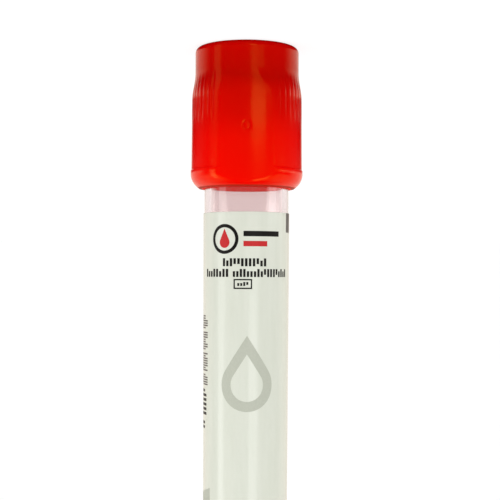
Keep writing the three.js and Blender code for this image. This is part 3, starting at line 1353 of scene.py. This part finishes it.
@dataclass
class Studio:
    """A white table and backdrop, strip lights parallel to the tube, and the camera.

    Distances and the surfaces' size are in metres, the camera's height and side in millimetres in the
    tube's frame.
    """

    frame: TubeFrame
    lens: float = 86.4
    camera_distance: float = 0.186
    camera_height: float = -12.85
    camera_side: float = 0.6
    camera_roll: float = 0.27
    shift_up: float = 0.044
    lamp_distance: float = 0.45
    surface_size: float = 6.0
    backdrop_distance: float = 1.2
    table_glow: float = 0.82
    backdrop_glow: float = 0.8
    paint: str = "#f4f4f4"
    seen_paint: str = "#8c8c8c"
    room_light: float = 0.9
    reflection_tint: str = "#fff3e4"
    lamps: tuple[StripLight, ...] = (
        StripLight("right_foot", 12, 9, 53, 62, 0.6),
        StripLight("right_core", 12.5, 16, 62, 80, 1.7),
        StripLight("right_wide", 22, 30, 80, 118, 0.35),
        StripLight("right_top", 14, 14, 118, 270, 0.5),
        StripLight("left_top", -68, 16, 75, 270, 0.4),
        StripLight("right_edge", 85, 56, 10, 34, 1.3),
        StripLight("right_edge_core", 76, 26, 10, 34, 1.3),
        StripLight("left_edge", -106, 22, 16, 34, 0.8),
        StripLight("left_rim", -68, 24, -50, 42, 1.2),
        StripLight("right_rim", 46, 14, 37, 42, 2.5),
        StripLight("lower_right", 20, 24, -340, -10, 1.6),
        StripLight("lower_left", -70, 18, -340, -50, 1.7),
    )

    def set_camera(self) -> None:
        """Places the camera in front of the tube, turned over so that the cap is at the top."""
        frame = self.frame
        place = frame.point(self.camera_side, self.camera_distance / METRES_PER_MM, self.camera_height)
        bpy.ops.object.camera_add(location=place)
        camera = bpy.context.active_object
        square = Matrix((frame.side, frame.along, frame.front)).transposed()
        roll = Matrix.Rotation(math.radians(self.camera_roll), 3, "Z")
        camera.rotation_euler = (square @ roll).to_euler()
        camera.data.lens = self.lens
        camera.data.shift_y = self.shift_up
        camera.data.clip_start = 0.005
        bpy.context.scene.camera = camera

    def ray_kinds(self, tree: NodeTree) -> tuple[Node, Node, NodeSocket]:
        """Tells rays apart.

        Args:
            tree: The tree that needs to know.

        Returns:
            What gives 1 for a surface seen directly or through the clear tube, for a mirrored one, and
            for a ray towards a lamp.
        """
        path = add_node(tree, "LightPath").outputs
        through = path["Is Transmission Ray"]
        seen = add_node(tree, "Math", {0: path["Is Camera Ray"], 1: through}, operation="MAXIMUM")
        mirrored = add_node(
            tree, "Math", {0: path["Is Glossy Ray"], 1: through}, operation="SUBTRACT", use_clamp=True
        )
        return seen, mirrored, path["Is Shadow Ray"]

    def white_surface(self, name: str, glow: float) -> Material:
        """Makes a plain white surface, which mirrored rays and lamp light pass through.

        Where it is seen, its paint is darker and it glows, so that it stays white under a faint shadow.

        Args:
            name: The material's name.
            glow: How much light it adds of its own where it is seen.

        Returns:
            The material.
        """
        material = bpy.data.materials.new(name)
        tree = empty_tree(material)
        seen, mirrored, to_lamp = self.ray_kinds(tree)
        paints = {"A": srgb(self.paint), "B": srgb(self.seen_paint)}
        paint = add_node(tree, "Mix", {"Factor": seen, **paints}, data_type="RGBA")
        lift = add_node(tree, "Math", {0: seen, 1: glow}, operation="MULTIPLY")
        plain = add_node(tree, "BsdfDiffuse", {"Color": paint})
        light = add_node(tree, "Emission", {"Strength": lift})
        lit = add_node(tree, "AddShader", {0: plain, 1: light})
        passed = add_node(tree, "Math", {0: mirrored, 1: to_lamp}, operation="MAXIMUM")
        clear = add_node(tree, "BsdfTransparent")
        mixed = add_node(tree, "MixShader", {0: passed, 1: lit, 2: clear})
        add_node(tree, "OutputMaterial", {"Surface": mixed})
        material.cycles.emission_sampling = "NONE"
        return material

    def set_surfaces(self) -> None:
        """Lays the table under the cap and stands the backdrop behind the tube."""
        bpy.ops.mesh.primitive_plane_add(size=self.surface_size)
        table = bpy.context.active_object
        table.name = "white_table"
        dress(table, self.white_surface("table_white", self.table_glow))
        place = (0, self.backdrop_distance, 0)
        bpy.ops.mesh.primitive_plane_add(size=self.surface_size, location=place, rotation=(math.pi / 2, 0, 0))
        backdrop = bpy.context.active_object
        backdrop.name = "white_backdrop"
        dress(backdrop, self.white_surface("backdrop_white", self.backdrop_glow))
        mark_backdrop(table, backdrop)

    def mirrored_room(self, tree: NodeTree) -> Node:
        """Works out how bright the room looks in reflections.

        It is bright behind the tube, but for a band just above the cap's bottom edge and for what lies
        far beyond the cap, and at both sides beyond the tube's round end. Straight behind it is bright at
        every height, which lights the outermost edges. The rest is dark, so that the lamps stand out.

        Args:
            tree: The world's tree.

        Returns:
            A node that gives the brightness.
        """
        direction = add_node(tree, "TexCoord").outputs["Generated"]
        side, back, up = add_node(tree, "SeparateXYZ", {"Vector": direction}).outputs
        across = add_node(tree, "Math", {0: side}, operation="ABSOLUTE")
        # Each zone eases from dark to its peak between two values of a direction's part.
        zones = {
            "behind": (back, -0.05, 0.5, 1.0),
            "near_table": (up, -0.15, -0.163, 1.0),
            "past_table": (up, -0.31, -0.2, 1.0),
            "above_band": (up, -0.09, -0.07, 1.0),
            "sides": (across, 0.3, 0.75, 0.9),
            "footwards": (up, 0.1, 0.35, 1.0),
            "straight_back": (back, 0.86, 0.97, 0.8),
        }
        light: dict[str, Node] = {}
        for name, (part, start, end, peak) in zones.items():
            limits = {"Value": part, "From Min": start, "From Max": end, "To Max": peak}
            light[name] = add_node(tree, "MapRange", limits, interpolation_type="SMOOTHSTEP")
        joins = (
            ("band", "near_table", "MULTIPLY", "past_table"),
            ("open_back", "band", "ADD", "above_band"),
            ("far", "behind", "MULTIPLY", "open_back"),
            ("near", "sides", "MULTIPLY", "footwards"),
            ("both", "far", "MAXIMUM", "near"),
            ("room", "both", "MAXIMUM", "straight_back"),
        )
        for name, first, operation, second in joins:
            light[name] = add_node(tree, "Math", {0: light[first], 1: light[second]}, operation=operation)
        return light["room"]

    def set_world(self) -> None:
        """Makes a white room, which shows in reflections only where it leaves the object its colour."""
        world = bpy.data.worlds.new("studio_world")
        world.cycles.sampling_method = "NONE"
        tree = empty_tree(world)
        seen, mirrored, _ = self.ray_kinds(tree)
        plain = add_node(tree, "MapRange", {"Value": seen, "To Min": self.room_light, "To Max": 1.0})
        room = self.mirrored_room(tree)
        strength = add_node(tree, "Mix", {"Factor": mirrored, "A": plain, "B": room})
        tints = {"A": srgb(WHITE), "B": srgb(self.reflection_tint)}
        colour = add_node(tree, "Mix", {"Factor": mirrored, **tints}, data_type="RGBA")
        background = add_node(tree, "Background", {"Color": colour, "Strength": strength})
        add_node(tree, "OutputWorld", {"Surface": background})
        bpy.context.scene.world = world

    def build(self) -> None:
        """Sets up the whole studio."""
        self.set_surfaces()
        self.set_world()
        for lamp in self.lamps:
            lamp.build(self.frame, self.lamp_distance)
        self.set_camera()
        bpy.context.scene.view_settings.view_transform = "Standard"


# --- Putting it together ---


def main() -> None:
    """Builds, dresses and lights the whole scene."""
    logging.basicConfig(level=logging.INFO, format="%(name)s: %(message)s")
    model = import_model()
    frame = TubeFrame.from_joints(model["joints"])
    label = WrappedLabel(frame)
    for part in (ClearTube(frame), RubberStopper(frame), SafetyCap(frame), label, LabelPrint(label)):
        part.build()
    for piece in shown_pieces():
        log.info("%s: %d faces", piece.name, len(piece.data.polygons))
    Studio(frame).build()


if __name__ == "__main__":
    main()
